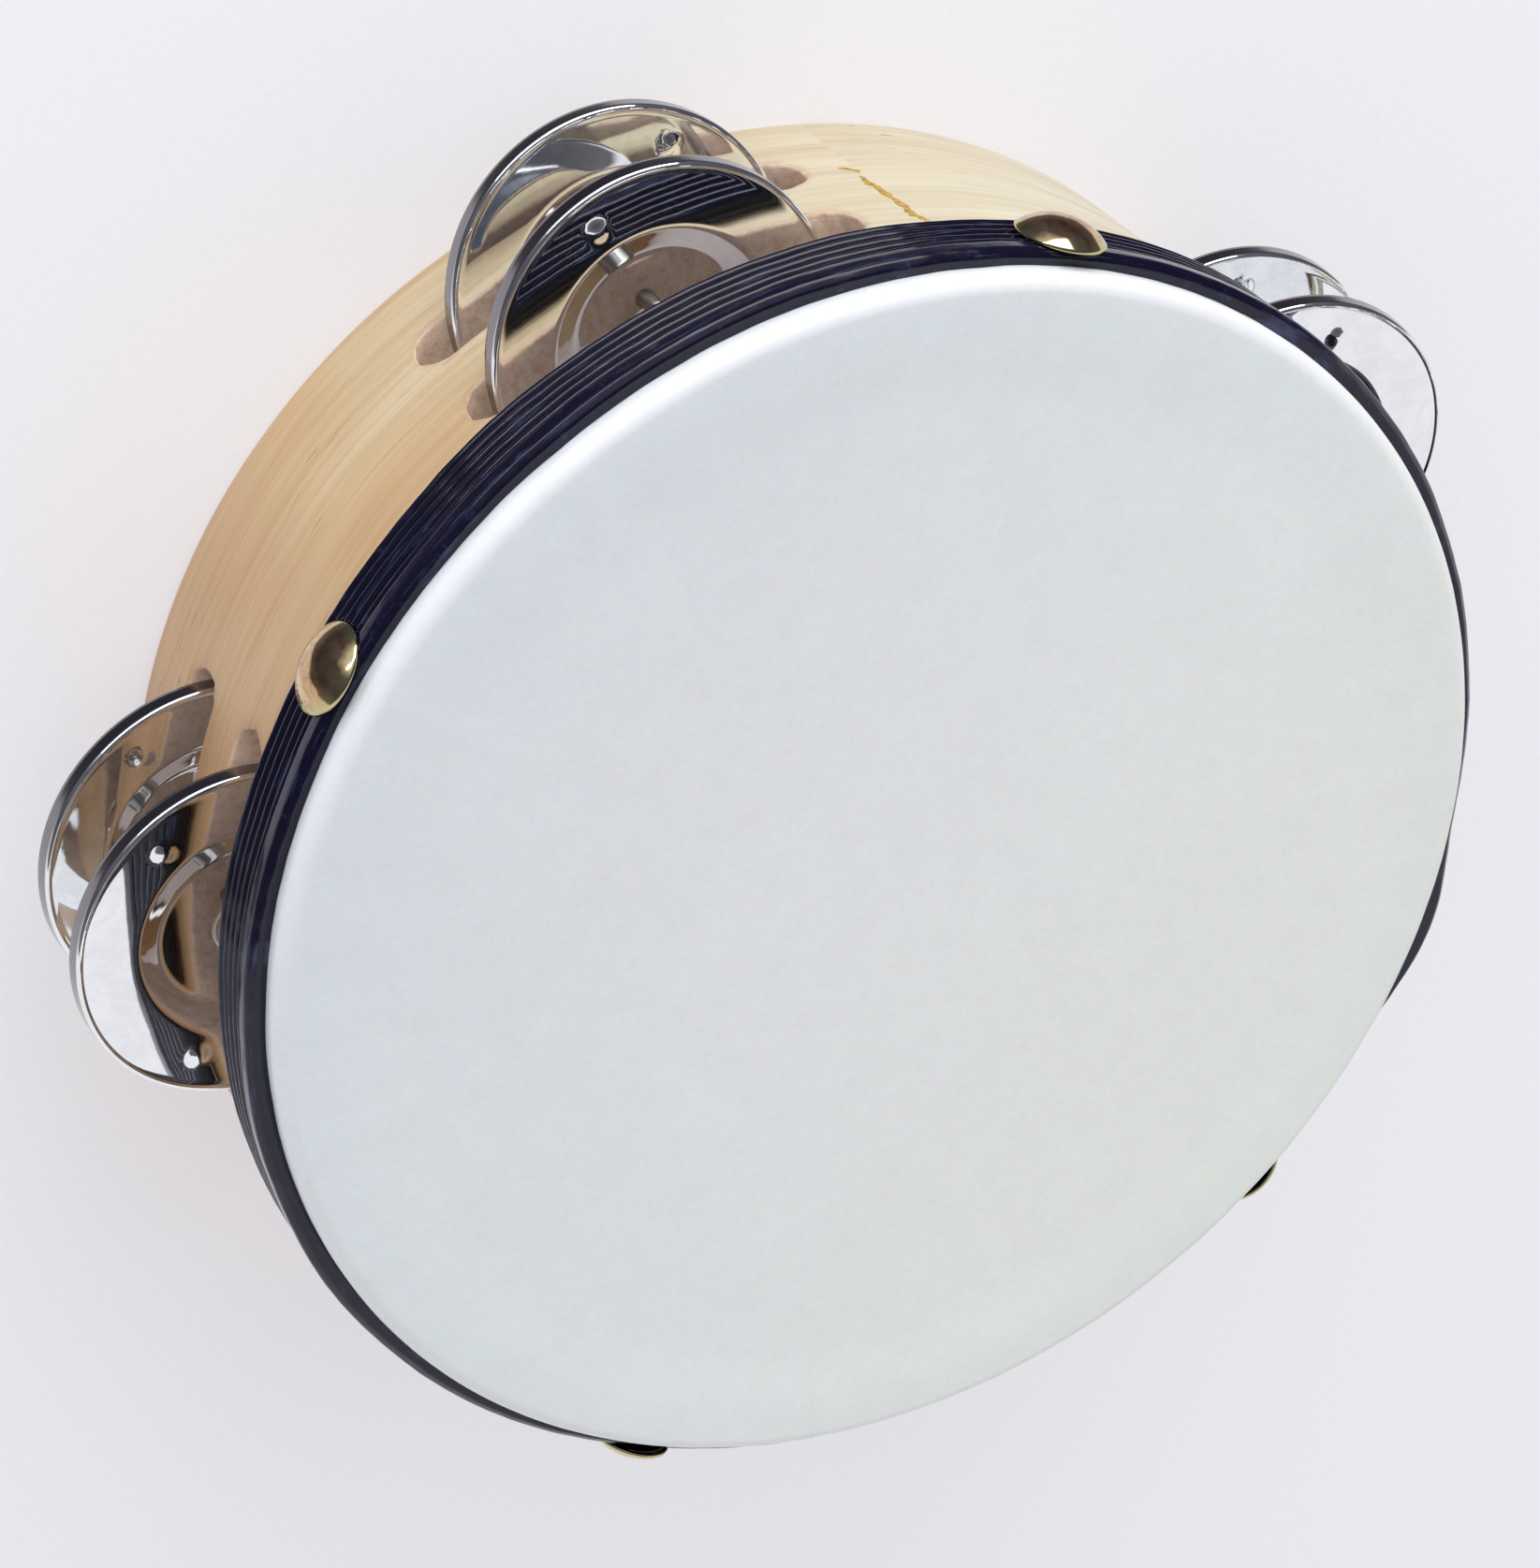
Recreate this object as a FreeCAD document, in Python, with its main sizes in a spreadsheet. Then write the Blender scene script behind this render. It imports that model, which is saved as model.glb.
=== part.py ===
import FreeCAD, Part
import math
import os

import Sketcher

# A small wooden tambourine, lying on its open rim with the skin up.
# The origin is the centre of the open rim, and +Z runs along the hoop's axis towards the skin.
# Angles run anticlockwise from +X, seen from the skin.

RIBS = 5
PIPS_PER_JINGLE = 3

# Driving dimensions, in mm.
SIZES = {
    "hoop_radius": 75.0,
    "hoop_wall": 6.5,
    "hoop_height": 48.0,
    "rim_round": 1.2,
    "shoulder_round": 2.0,
    "slot_width": 7.0,
    "slot_length": 48.0,
    "slot_spacing": 14.6,
    "slot_setback": 2.4,
    "skin_thick": 0.6,
    "skirt_bottom": 37.0,
    "band_thick": 1.3,
    "band_bottom": 35.6,
    "band_top": 45.6,
    "rib_round": 0.62,
    "rib_proud": 0.45,
    "rib_first": 36.45,
    "rib_pitch": 1.42,
    "bead_bottom": 43.0,
    "bead_proud": 0.5,
    "bead_round": 0.6,
    "pin_radius": 1.1,
    "pin_setback": 1.4,
    "pin_inset": 0.6,
    "pin_top": 43.0,
    "pin_point": 0.5,
    "tack_head_radius": 5.2,
    "tack_dome": 2.5,
    "tack_edge": 0.35,
    "tack_shank_radius": 0.75,
    "tack_shank_length": 6.5,
    "tack_point": 1.5,
    "tack_level": 41.5,
    "jingle_radius": 20.0,
    "jingle_sheet": 0.45,
    "jingle_fold": 1.0,
    "flange_depth": 2.2,
    "cup_floor_radius": 9.2,
    "cup_lip_radius": 13.2,
    "cup_depth": 1.7,
    "cup_round": 1.2,
    "jingle_hole_radius": 3.0,
    "pip_circle": 15.6,
    "pip_radius": 1.5,
    "pip_crown": 0.7,
    "pip_height": 0.45,
    "pip_root": 0.2,
    "jingle_rest_gap": 0.95,
}

# The angles of the five stations and of the four tacks round the hoop, in degrees. They were set out
# by hand, so they aren't quite even.
STATION_TURNS = (0.0, 68.5, 144.0, 213.5, 290.5)
TACK_TURNS = (350.0, 112.2, 184.5, 283.0)

# How each loose jingle hangs on its pin at rest, from station 1 on: its lean in degrees (outer edge
# up is positive), its spin on the pin in degrees, how far it sits outward and along from the pin, and
# how far it has slid forward from the rear wall of its slot.
FRONT_HANG = (
    (-3.0, 25.0, -1.4, -0.8, 0.0),
    (6.0, 40.0, -1.5, -0.6, 1.6),
    (1.0, 13.0, -1.3, 1.1, 1.0),
    (4.0, -51.0, 1.3, 1.1, 0.6),
    (-5.0, 70.0, -1.6, 0.4, 0.0),
)
REAR_HANG = (
    (2.0, -10.0, -1.5, 0.4, 0.0),
    (4.0, 55.0, -1.3, -1.1, 1.4),
    (-3.0, -40.0, -1.6, -0.4, 1.4),
    (6.0, -58.0, 0.3, -1.6, 0.0),
    (-4.0, 5.0, -1.5, -0.6, 0.0),
)

# Lengths that follow from the sheet, written as expressions on it.
PIN_CIRCLE = "(sizes.hoop_radius - sizes.hoop_wall / 2 - sizes.pin_setback)"
SKIN_RADIUS = "(sizes.hoop_radius + sizes.skin_thick)"
BAND_RADIUS = "(sizes.hoop_radius + sizes.skin_thick + sizes.band_thick)"
HEAD_SEAT = f"({BAND_RADIUS} + sizes.rib_proud + 0.05)"
REAR_SLOT = "(sizes.hoop_height / 2 - sizes.slot_setback - sizes.slot_spacing / 2)"
FRONT_SLOT = "(sizes.hoop_height / 2 - sizes.slot_setback + sizes.slot_spacing / 2)"

Y_AXIS = FreeCAD.Vector(0, 1, 0)
Z_AXIS = FreeCAD.Vector(0, 0, 1)
ORIGIN = FreeCAD.Vector(0, 0, 0)


def make_sheet(doc):
    """The spreadsheet that holds every driving dimension under its alias."""
    sheet = doc.addObject("Spreadsheet::Sheet", "sizes")
    for row, (alias, value) in enumerate(SIZES.items(), start=1):
        sheet.set(f"A{row}", alias)
        sheet.set(f"B{row}", str(value))
        sheet.setAlias(f"B{row}", alias)
    doc.recompute()


# --- sketches ---------------------------------------------------------------------------------


def origin_item(body, role):
    """One of the body's own origin planes or axes."""
    return next(item for item in body.Origin.OriginFeatures if item.Role == role)


def new_body(doc, label):
    body = doc.addObject("PartDesign::Body", label)
    body.Label = label
    return body


def new_sketch(body, name, role):
    """An empty sketch on one of the body's origin planes."""
    sketch = body.newObject("Sketcher::SketchObject", name)
    sketch.AttachmentSupport = [(origin_item(body, role), "")]
    sketch.MapMode = "FlatFace"
    return sketch


def bind_point(sketch, geometry, point, x, y):
    """Hold a point at two expressions, measured from the sketch's origin."""
    for kind, words in (("DistanceX", x), ("DistanceY", y)):
        value = sketch.evalExpression(words)
        index = sketch.addConstraint(Sketcher.Constraint(kind, -1, 1, geometry, point, value))
        sketch.setExpression(f"Constraints[{index}]", words)


def bind_radius(sketch, geometry, words):
    value = sketch.evalExpression(words)
    index = sketch.addConstraint(Sketcher.Constraint("Radius", geometry, value))
    sketch.setExpression(f"Constraints[{index}]", words)


def place(sketch, x, y):
    """The sketch point that two expressions stand for now."""
    return FreeCAD.Vector(sketch.evalExpression(x), sketch.evalExpression(y), 0)


def add_polygon(sketch, corners):
    """A closed outline of straight sides, each corner bound to a pair of expressions."""
    points = [place(sketch, x, y) for x, y in corners]
    ends = points[1:] + points[:1]
    sides = [sketch.addGeometry(Part.LineSegment(a, b)) for a, b in zip(points, ends)]
    for side, following in zip(sides, sides[1:] + sides[:1]):
        sketch.addConstraint(Sketcher.Constraint("Coincident", side, 2, following, 1))
    for side, (x, y) in zip(sides, corners):
        bind_point(sketch, side, 1, x, y)


def add_circle(sketch, x, y, radius):
    centre = place(sketch, x, y)
    circle = sketch.addGeometry(Part.Circle(centre, Z_AXIS, sketch.evalExpression(radius)))
    bind_point(sketch, circle, 3, x, y)
    bind_radius(sketch, circle, radius)


def add_obround(sketch, level, length, width):
    """A round-ended slot, lying level and centred on the sketch's vertical axis."""
    reach = f"({length} - {width}) / 2"
    radius = f"{width} / 2"
    r = sketch.evalExpression(radius)
    left = place(sketch, f"-({reach})", level)
    right = place(sketch, reach, level)
    up = Y_AXIS * r
    quarter = math.pi / 2
    right_end = Part.ArcOfCircle(Part.Circle(right, Z_AXIS, r), -quarter, quarter)
    left_end = Part.ArcOfCircle(Part.Circle(left, Z_AXIS, r), quarter, 3 * quarter)
    arc_right = sketch.addGeometry(right_end)
    top = sketch.addGeometry(Part.LineSegment(right + up, left + up))
    arc_left = sketch.addGeometry(left_end)
    bottom = sketch.addGeometry(Part.LineSegment(left - up, right - up))
    for first, second in ((arc_right, top), (top, arc_left), (arc_left, bottom), (bottom, arc_right)):
        sketch.addConstraint(Sketcher.Constraint("Tangent", first, 2, second, 1))
    bind_point(sketch, arc_right, 3, reach, level)
    bind_point(sketch, arc_left, 3, f"-({reach})", level)
    bind_radius(sketch, arc_right, radius)


# --- features ---------------------------------------------------------------------------------


def revolve(body, sketch):
    """Turn the sketch a full turn about the sketch's vertical axis."""
    feature = body.newObject("PartDesign::Revolution", f"{sketch.Name}_turned")
    feature.Profile = sketch
    feature.ReferenceAxis = (sketch, ["V_Axis"])
    feature.Angle = 360
    return feature


def cut(body, sketch, length):
    """Pocket from the sketch's plane along its normal, checked to leave new faces in the body."""
    doc = body.Document
    doc.recompute()
    faces_before = len(body.Shape.Faces)
    pocket = body.newObject("PartDesign::Pocket", f"{sketch.Name}_cut")
    pocket.Profile = sketch
    pocket.Reversed = True
    pocket.setExpression("Length", length)
    doc.recompute()
    if len(body.Shape.Faces) <= faces_before:
        raise RuntimeError(f"{sketch.Name} in {body.Label} removes nothing")
    return pocket


def repeat_around(body, feature, count):
    """The same feature at equal steps round the body's vertical axis."""
    pattern = body.newObject("PartDesign::PolarPattern", f"{feature.Name}_around")
    pattern.Originals = [feature]
    pattern.Axis = (origin_item(body, "Z_Axis"), [""])
    pattern.Angle = 360
    pattern.Occurrences = count
    body.Tip = pattern
    return pattern


def round_edges(body, rings, radius):
    """Fillet the circular edges at the given (radius, height) pairs."""
    body.Document.recompute()
    base = body.Tip
    wanted = [(base.evalExpression(r), base.evalExpression(z)) for r, z in rings]
    names = []
    for number, edge in enumerate(base.Shape.Edges, start=1):
        if not isinstance(edge.Curve, Part.Circle):
            continue
        ring = (edge.Curve.Radius, edge.Curve.Center.z)
        if any(abs(ring[0] - r) + abs(ring[1] - z) < 1e-4 for r, z in wanted):
            names.append(f"Edge{number}")
    if len(names) < len(rings):
        raise RuntimeError(f"{body.Label} has no edge for one of {rings}")
    fillet = body.newObject("PartDesign::Fillet", f"{body.Name}_round")
    fillet.Base = (base, names)
    fillet.setExpression("Radius", radius)
    body.Document.recompute()


def facing(turn):
    """What stands a YZ sketch upright and square to the ray at that angle round the body's axis."""
    return FreeCAD.Placement(ORIGIN, FreeCAD.Rotation(Y_AXIS, turn))


def add_tack_holes(body):
    """A radial hole for each tack's shank, clear through the body."""
    for number, turn in enumerate(TACK_TURNS, start=1):
        sketch = new_sketch(body, f"tack_hole_{number}", "YZ_Plane")
        sketch.AttachmentOffset = facing(turn)
        add_circle(sketch, "0", "sizes.tack_level", "sizes.tack_shank_radius")
        cut(body, sketch, f"{HEAD_SEAT} + 10")


def stand_at(body, turn, outward, level, tilt, along=0.0):
    """Place a body round the hoop at an angle about Z, and tip it by its own rotation first."""
    body.Placement = FreeCAD.Placement(ORIGIN, FreeCAD.Rotation(Z_AXIS, turn) * tilt)
    body.setExpression("Placement.Base.x", f"({outward}) * cos({turn} deg) - {along} * sin({turn} deg)")
    body.setExpression("Placement.Base.y", f"({outward}) * sin({turn} deg) + {along} * cos({turn} deg)")
    body.setExpression("Placement.Base.z", level)


# --- pieces -----------------------------------------------------------------------------------


def make_hoop(doc):
    """The bent wooden hoop, with two slots and a pin hole at every station, and the tack holes."""
    body = new_body(doc, "wood_hoop")
    inner = "sizes.hoop_radius - sizes.hoop_wall"
    outer = "sizes.hoop_radius"
    top = "sizes.hoop_height"
    section = new_sketch(body, "hoop_section", "XZ_Plane")
    add_polygon(section, [(inner, "0"), (outer, "0"), (outer, top), (inner, top)])
    revolve(body, section)
    round_edges(body, [(inner, "0"), (outer, "0"), (inner, top)], "sizes.rim_round")
    round_edges(body, [(outer, top)], "sizes.shoulder_round")

    for number, turn in enumerate(STATION_TURNS, start=1):
        for name, level in (("rear_slot", REAR_SLOT), ("front_slot", FRONT_SLOT)):
            slot = new_sketch(body, f"{name}_{number}", "YZ_Plane")
            slot.AttachmentOffset = facing(turn)
            add_obround(slot, level, "sizes.slot_length", "sizes.slot_width")
            cut(body, slot, f"{outer} + 10")
        pin_hole = new_sketch(body, f"pin_hole_{number}", "XY_Plane")
        x, y = f"{PIN_CIRCLE} * cos({turn} deg)", f"{PIN_CIRCLE} * sin({turn} deg)"
        add_circle(pin_hole, x, y, "sizes.pin_radius")
        cut(body, pin_hole, "sizes.pin_top")
    add_tack_holes(body)
    return body


def make_skin(doc):
    """The drumhead: a flat sheet with a rounded shoulder and a skirt down the hoop's outside."""
    body = new_body(doc, "head_skin")
    wood_top = "sizes.hoop_height"
    skin_top = "sizes.hoop_height + sizes.skin_thick"
    wood = "sizes.hoop_radius"
    skirt = "sizes.skirt_bottom"
    section = new_sketch(body, "skin_section", "XZ_Plane")
    corners = [("0", wood_top), (wood, wood_top), (wood, skirt)]
    corners += [(SKIN_RADIUS, skirt), (SKIN_RADIUS, skin_top), ("0", skin_top)]
    add_polygon(section, corners)
    revolve(body, section)
    round_edges(body, [(wood, wood_top)], "sizes.shoulder_round")
    round_edges(body, [(SKIN_RADIUS, skin_top)], "sizes.shoulder_round + sizes.skin_thick")
    add_tack_holes(body)
    return body


def make_band(doc):
    """The ribbed strap that hides the skirt, with a wider bead along its front edge."""
    body = new_body(doc, "ribbed_band")
    bottom, top, bead = "sizes.band_bottom", "sizes.band_top", "sizes.bead_bottom"
    crest = f"{BAND_RADIUS} + sizes.bead_proud"
    section = new_sketch(body, "band_section", "XZ_Plane")
    corners = [(SKIN_RADIUS, bottom), (BAND_RADIUS, bottom), (BAND_RADIUS, bead)]
    corners += [(crest, f"{bead} + sizes.bead_round"), (crest, top), (SKIN_RADIUS, top)]
    add_polygon(section, corners)
    revolve(body, section)
    round_edges(body, [(crest, f"{bead} + sizes.bead_round"), (crest, top)], "sizes.bead_round")

    rib = new_sketch(body, "rib_section", "XZ_Plane")
    rib_centre = f"{BAND_RADIUS} + sizes.rib_proud - sizes.rib_round"
    add_circle(rib, rib_centre, "sizes.rib_first", "sizes.rib_round")
    turned = revolve(body, rib)
    ribs = body.newObject("PartDesign::LinearPattern", "ribs")
    ribs.Originals = [turned]
    ribs.Direction = (origin_item(body, "Z_Axis"), [""])
    ribs.Occurrences = RIBS
    ribs.setExpression("Length", f"sizes.rib_pitch * {RIBS - 1}")
    body.Tip = ribs
    add_tack_holes(body)
    return body


def make_pin(doc, number, turn):
    """The steel pin that two jingles hang on, driven up into the hoop from the open rim."""
    body = new_body(doc, f"jingle_pin_{number}")
    sketch = new_sketch(body, "pin_section", "XZ_Plane")
    end = "sizes.pin_top - sizes.pin_inset"
    point_radius = "sizes.pin_radius - sizes.pin_point"
    corners = [("0", "0"), ("sizes.pin_radius", "0"), ("sizes.pin_radius", f"{end} - sizes.pin_point")]
    corners += [(point_radius, end), ("0", end)]
    add_polygon(sketch, corners)
    revolve(body, sketch)
    stand_at(body, turn, PIN_CIRCLE, "sizes.pin_inset", FreeCAD.Rotation())
    return body


def make_tack(doc, number, turn):
    """A round-headed tack: a shallow dome on a pointed shank, driven through band, skin and wood."""
    body = new_body(doc, f"tack_{number}")
    sketch = new_sketch(body, "tack_section", "XZ_Plane")
    shank, tip = "sizes.tack_shank_radius", "-sizes.tack_shank_length"
    rim = ("sizes.tack_head_radius", "sizes.tack_edge")
    corners = [("0", "sizes.tack_dome"), ("0", tip), (shank, f"{tip} + sizes.tack_point")]
    corners += [(shank, "0"), ("sizes.tack_head_radius", "0"), rim]
    points = [place(sketch, x, y) for x, y in corners]
    sides = [sketch.addGeometry(Part.LineSegment(a, b)) for a, b in zip(points, points[1:])]
    for side, following in zip(sides, sides[1:]):
        sketch.addConstraint(Sketcher.Constraint("Coincident", side, 2, following, 1))
    for side, (x, y) in zip(sides, corners):
        bind_point(sketch, side, 1, x, y)
    bind_point(sketch, sides[-1], 2, *rim)

    drop = points[0].y - points[-1].y
    ball = (points[-1].x ** 2 + drop**2) / (2 * drop)
    centre = points[0] - Y_AXIS * ball
    crown = Part.Circle(centre, Z_AXIS, ball)
    arc = Part.ArcOfCircle(crown, crown.parameter(points[-1]), crown.parameter(points[0]))
    dome = sketch.addGeometry(arc)
    sketch.addConstraint(Sketcher.Constraint("Coincident", dome, 1, sides[-1], 2))
    sketch.addConstraint(Sketcher.Constraint("Coincident", dome, 2, sides[0], 1))
    sketch.addConstraint(Sketcher.Constraint("PointOnObject", dome, 3, -2))
    revolve(body, sketch)
    stand_at(body, turn, HEAD_SEAT, "sizes.tack_level", FreeCAD.Rotation(Y_AXIS, 90))
    return body


def make_jingle(doc, label, turn, slot, hang):
    """A pressed steel disc: turned-back flange, dished middle, small pips and a loose centre hole."""
    body = new_body(doc, label)
    face, sheet = "sizes.flange_depth", "sizes.jingle_sheet"
    floor = f"{face} - sizes.cup_depth"
    rim, hole = "sizes.jingle_radius", "sizes.jingle_hole_radius"
    inner_rim = f"{rim} - {sheet}"
    floor_radius, lip_radius = "sizes.cup_floor_radius", "sizes.cup_lip_radius"
    upper = [(hole, floor), (floor_radius, floor), (lip_radius, face), (rim, face)]
    lower = [(rim, "0"), (inner_rim, "0"), (inner_rim, f"{face} - {sheet}")]
    lower += [(lip_radius, f"{face} - {sheet}"), (floor_radius, f"{floor} - {sheet}")]
    lower += [(hole, f"{floor} - {sheet}")]
    section = new_sketch(body, "jingle_section", "XZ_Plane")
    add_polygon(section, upper + lower)
    revolve(body, section)
    round_edges(body, [(rim, face)], "sizes.jingle_fold")
    round_edges(body, [(inner_rim, f"{face} - {sheet}")], "sizes.jingle_fold - sizes.jingle_sheet")
    round_edges(body, [(floor_radius, floor), (lip_radius, face)], "sizes.cup_round")

    pip = body.newObject("PartDesign::AdditiveCone", "pip")
    pip.setExpression("Radius1", "sizes.pip_radius")
    pip.setExpression("Radius2", "sizes.pip_crown")
    pip.setExpression("Height", "sizes.pip_height + sizes.pip_root")
    pip.setExpression("Placement.Base.x", "sizes.pip_circle")
    pip.setExpression("Placement.Base.z", f"{face} - sizes.pip_root")
    doc.recompute()
    repeat_around(body, pip, PIPS_PER_JINGLE)
    lean, spin, out, along, forward = hang
    level = f"{slot} - sizes.slot_width / 2 + sizes.jingle_rest_gap + {forward}"
    tilt = FreeCAD.Rotation(Y_AXIS, -lean) * FreeCAD.Rotation(Z_AXIS, spin)
    stand_at(body, turn, f"{PIN_CIRCLE} + {out}", level, tilt, along)
    return body


def make_station(doc, number):
    """Everything that hangs at one station: the pin and its front and rear jingles."""
    turn = STATION_TURNS[number - 1]
    front = make_jingle(doc, f"front_jingle_{number}", turn, FRONT_SLOT, FRONT_HANG[number - 1])
    rear = make_jingle(doc, f"rear_jingle_{number}", turn, REAR_SLOT, REAR_HANG[number - 1])
    return [make_pin(doc, number, turn), front, rear]


def check(doc, bodies):
    """Stop if any object failed or any piece's shape is empty, broken or not one solid."""
    doc.recompute()
    for item in doc.Objects:
        if "Invalid" in item.State or "Error" in item.State:
            raise RuntimeError(f"{item.Label} failed: {item.State}")
    for body in bodies:
        shape = body.Shape
        if shape.isNull() or not shape.isValid() or len(shape.Solids) != 1:
            raise RuntimeError(f"{body.Label} isn't one valid solid")


def main():
    doc = FreeCAD.newDocument("tambourine")
    make_sheet(doc)
    bodies = [make_hoop(doc), make_skin(doc), make_band(doc)]
    for number in range(1, len(STATION_TURNS) + 1):
        bodies += make_station(doc, number)
    for number, turn in enumerate(TACK_TURNS, start=1):
        bodies.append(make_tack(doc, number, turn))
    check(doc, bodies)
    os.makedirs("parts", exist_ok=True)
    for body in bodies:
        body.Shape.exportStep(os.path.join("parts", f"{body.Label}.step"))


main()
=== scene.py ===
import math

import bmesh
import bpy
import numpy as np
from mathutils import Matrix, Quaternion, Vector, geometry, noise


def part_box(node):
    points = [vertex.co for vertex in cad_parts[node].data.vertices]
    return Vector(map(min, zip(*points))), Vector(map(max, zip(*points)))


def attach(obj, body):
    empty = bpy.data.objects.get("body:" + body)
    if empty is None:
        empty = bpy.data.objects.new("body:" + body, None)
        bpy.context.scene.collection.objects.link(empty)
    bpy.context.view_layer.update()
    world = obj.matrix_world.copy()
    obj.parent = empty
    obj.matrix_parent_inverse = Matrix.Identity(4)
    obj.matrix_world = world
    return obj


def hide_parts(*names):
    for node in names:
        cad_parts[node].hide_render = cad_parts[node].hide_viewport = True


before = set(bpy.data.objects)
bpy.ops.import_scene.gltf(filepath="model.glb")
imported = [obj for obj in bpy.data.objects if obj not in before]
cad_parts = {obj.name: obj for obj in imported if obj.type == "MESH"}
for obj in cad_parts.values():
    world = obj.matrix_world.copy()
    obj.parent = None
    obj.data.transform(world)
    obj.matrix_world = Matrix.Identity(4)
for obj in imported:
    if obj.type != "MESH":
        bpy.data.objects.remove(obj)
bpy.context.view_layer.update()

# Lengths here are in millimetres in the row's own frame; MM turns them into Blender's metres.
MM = 0.001
TAU = 2 * math.pi
STATIONS = 5

# Camera, in metres and degrees: where it looks, from which side, how far off and how it is rolled.
CAMERA_AIM = Vector((-0.0062, -0.0005, 0.024))
CAMERA_AZIMUTH = 253.74
CAMERA_ELEVATION = 50.36
CAMERA_DISTANCE = 0.5174
CAMERA_ROLL = 136.77
CAMERA_LENS = 102.08


# --- sizes taken from the frame ----------------------------------------------------------------


def box_mm(node):
    """A CAD node's lowest and highest corner, in mm."""
    low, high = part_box(node)
    return low / MM, high / MM


_, hoop_high = box_mm("wood_hoop")
skin_low, skin_high = box_mm("head_skin")
band_low, band_high = box_mm("ribbed_band")
HOOP_RADIUS = hoop_high.x
HOOP_HEIGHT = hoop_high.z
SKIN_RADIUS = skin_high.x
SKIN_TOP = skin_high.z
SKIRT_BOTTOM = skin_low.z
BAND_CREST = band_high.x
BAND_BOTTOM = band_low.z
BAND_TOP = band_high.z


def turn_of(point):
    """A point's angle round the hoop, from 0 to a full turn."""
    return math.atan2(point[1], point[0]) % TAU


def wrapped(turn):
    """The same angle between minus and plus half a turn."""
    return (turn + math.pi) % TAU - math.pi


pin_boxes = [box_mm(f"jingle_pin_{number}") for number in range(1, STATIONS + 1)]
STATION_TURNS = [turn_of((low + high) / 2) for low, high in pin_boxes]
PIN_CIRCLE = math.hypot(*((pin_boxes[0][0] + pin_boxes[0][1]) / 2)[:2])
PIN_END = pin_boxes[0][0].z

# Sizes that a box can't give, as the piece is designed.
HOOP_WALL = 6.5
HOOP_INNER = HOOP_RADIUS - HOOP_WALL
RIM_ROUND = 1.2
SHOULDER_ROUND = 2.0
SLOT_WIDTH = 7.0
SLOT_LENGTH = 48.0
SLOT_SETBACK = 2.4
SLOT_SPACING = 14.6
SLOT_LEVELS = [HOOP_HEIGHT / 2 - SLOT_SETBACK + side * SLOT_SPACING / 2 for side in (-1, 1)]
SKIN_THICK = SKIN_RADIUS - HOOP_RADIUS


# --- small helpers -----------------------------------------------------------------------------


def smooth(t):
    """0 below 0, 1 above 1, and an S-curve between."""
    t = min(1.0, max(0.0, t))
    return t * t * (3 - 2 * t)


def wander(x, y, z, seed=0.0):
    """Smooth noise between about -1 and 1 that repeats exactly each run."""
    return noise.noise(Vector((x + 17.3 * seed, y - 9.1 * seed, z + 5.7 * seed)))


def around(theta, scale, seed=0.0, level=0.0):
    """Noise that closes on itself round a circle: scale is how many wanders fit in a radian."""
    return wander(scale * math.cos(theta), scale * math.sin(theta), level, seed)


def rounded(corners, radii, steps=6):
    """An open line with each corner replaced by an arc of its radius (0 keeps it sharp)."""
    path = []
    for i, (corner, radius) in enumerate(zip(corners, radii)):
        here = Vector(corner)
        if radius == 0 or i in (0, len(corners) - 1):
            path.append(tuple(here))
            continue
        to_last = (Vector(corners[i - 1]) - here).normalized()
        to_next = (Vector(corners[i + 1]) - here).normalized()
        half = to_last.angle(to_next) / 2
        centre = here + (to_last + to_next).normalized() * (radius / math.sin(half))
        start = here + to_last * (radius / math.tan(half)) - centre
        end = here + to_next * (radius / math.tan(half)) - centre
        sweep = start.angle_signed(end)
        for k in range(steps + 1):
            turn = -sweep * k / steps
            c, s = math.cos(turn), math.sin(turn)
            path.append((centre.x + start.x * c - start.y * s, centre.y + start.x * s + start.y * c))
    return path


def divided(path, longest):
    """The same line with its long sides split so that none is longer than asked."""
    out = []
    for a, b in zip(path, path[1:]):
        parts = max(1, math.ceil(math.dist(a, b) / longest))
        out += [(a[0] + (b[0] - a[0]) * k / parts, a[1] + (b[1] - a[1]) * k / parts) for k in range(parts)]
    return out + [path[-1]]


def add_piece(name, points, faces, material, body, slot, *nodes):
    """A smooth mesh object from points in mm, riding on a body in place of its CAD nodes."""
    mesh = bpy.data.meshes.new(name)
    mesh.from_pydata([Vector(p) * MM for p in points], [], faces)
    mesh.validate()
    mesh.polygons.foreach_set("use_smooth", [True] * len(mesh.polygons))
    mesh.materials.append(material)
    piece = bpy.data.objects.new(name, mesh)
    bpy.context.scene.collection.objects.link(piece)
    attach(piece, body)
    if nodes:
        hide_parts(*nodes)
    return piece


def ring(count):
    """Evenly set angles round a full turn."""
    return [TAU * k / count for k in range(count)]


def lathe(path, turns, closed, shape=None):
    """Points and faces of an (r, z) outline turned about Z. shape(theta, r, z) may move a point."""
    points, rows = [], []
    segments = len(turns)
    for r, z in path:
        if r < 1e-6:
            rows.append([len(points)] * segments)
            points.append(shape(0.0, 0.0, z) if shape else (0.0, 0.0, z))
            continue
        rows.append(list(range(len(points), len(points) + segments)))
        for theta in turns:
            points.append(shape(theta, r, z) if shape else (r * math.cos(theta), r * math.sin(theta), z))
    faces = []
    following = rows[1:] + rows[:1] if closed else rows[1:]
    for low, high in zip(rows, following):
        for k in range(segments):
            n = (k + 1) % segments
            corners = [low[k], low[n], high[n], high[k]]
            faces.append([v for j, v in enumerate(corners) if v not in corners[:j]])
    return points, faces


# --- material nodes ----------------------------------------------------------------------------


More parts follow.
